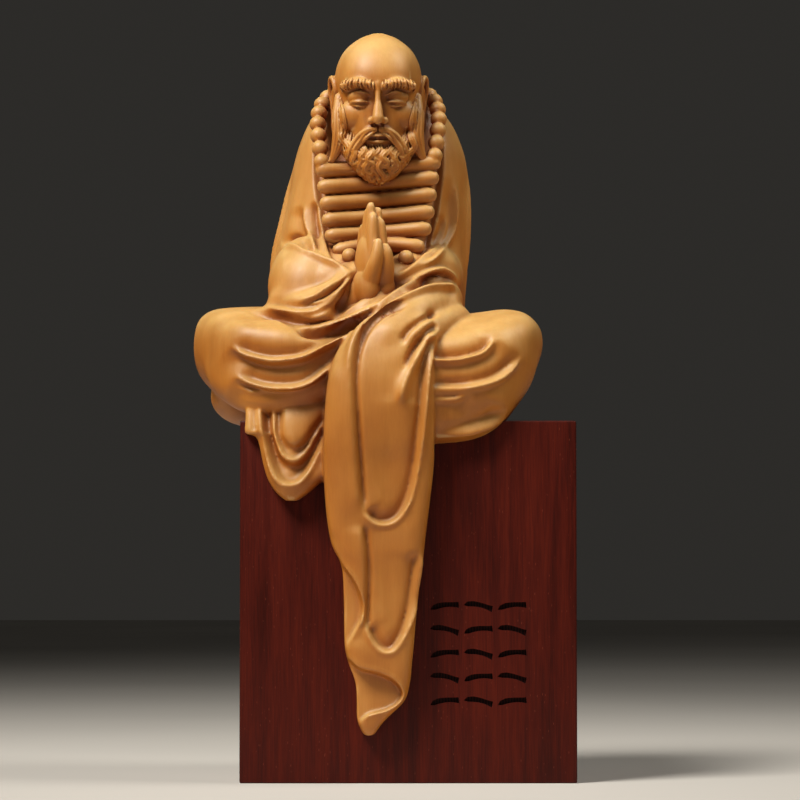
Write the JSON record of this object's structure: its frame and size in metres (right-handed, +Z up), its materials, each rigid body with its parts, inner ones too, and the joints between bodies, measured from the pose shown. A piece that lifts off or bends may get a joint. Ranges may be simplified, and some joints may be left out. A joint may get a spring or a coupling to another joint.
{
  "type": "bodhidharma statue",
  "caption": "Carved boxwood monk, cross-legged with praying hands, robe hanging over the front of a dark upright wood plinth.",
  "frame": {"origin": "centre of the plinth's underside, on the surface it stands on", "axes": "+Z up, -Y the way the figure and the engraved face look, +X to the viewer's right from the front"},
  "size_m": [0.1014, 0.0759, 0.1993],
  "materials": {
    "plinth": "satin",
    "figure": "satin"
  },
  "bodies": {
    "root": {"plinth": "plinth", "figure": "figure"}
  },
  "joints": []
}
